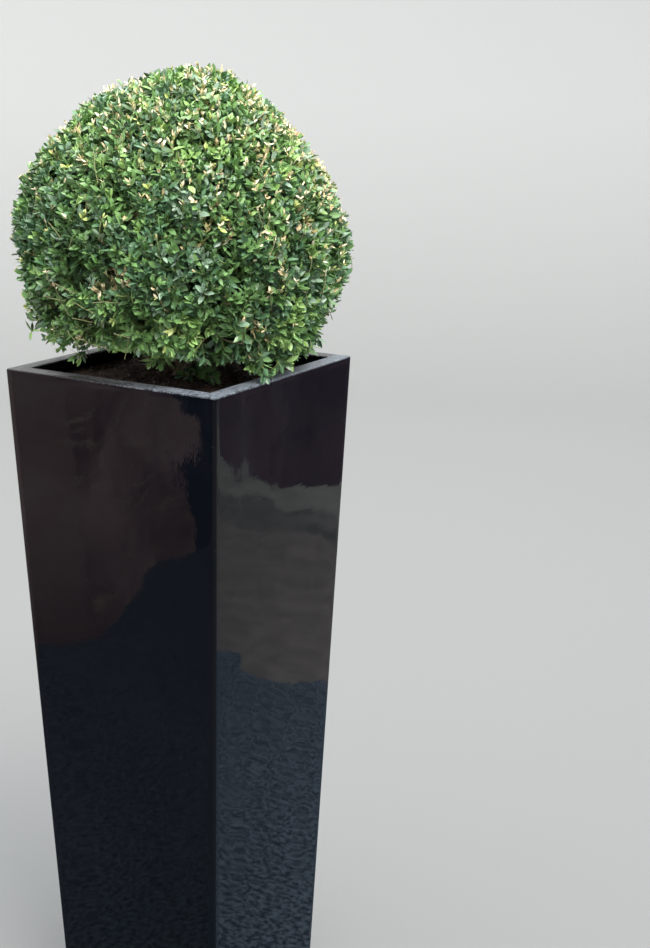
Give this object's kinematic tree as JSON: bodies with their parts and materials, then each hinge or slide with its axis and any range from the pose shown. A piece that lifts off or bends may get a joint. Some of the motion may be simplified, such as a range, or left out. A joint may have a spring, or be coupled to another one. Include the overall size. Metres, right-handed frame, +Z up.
{
  "type": "box topiary ball in a tall planter",
  "caption": "Box bush clipped to a ball, growing from compost in a tall square planter that tapers to its foot, in gloss black moulded plastic.",
  "frame": {"origin": "centre of the planter's flat underside, which stands on the ground", "axes": "+Z up along the planter's axis; -Y towards one broad face of the planter, the one seen half left from before the near corner, which is at +X -Y"},
  "size_m": [0.5082, 0.512, 1.5641],
  "materials": {
    "planter": "gloss black gelcoat, gently wavy, with a dusty, scuffed rim",
    "compost": "dark crumbly potting compost",
    "bark": "fine ridged grey-brown bark",
    "leaves": "small glossy evergreen leaves, with pale clipped tips"
  },
  "bodies": {
    "root": {"planter": "planter", "compost": "compost", "stem": "bark", "bough_1": "bark", "bough_2": "bark", "bough_3": "bark", "bough_4": "bark", "clipped_crown": "leaves"}
  },
  "joints": []
}
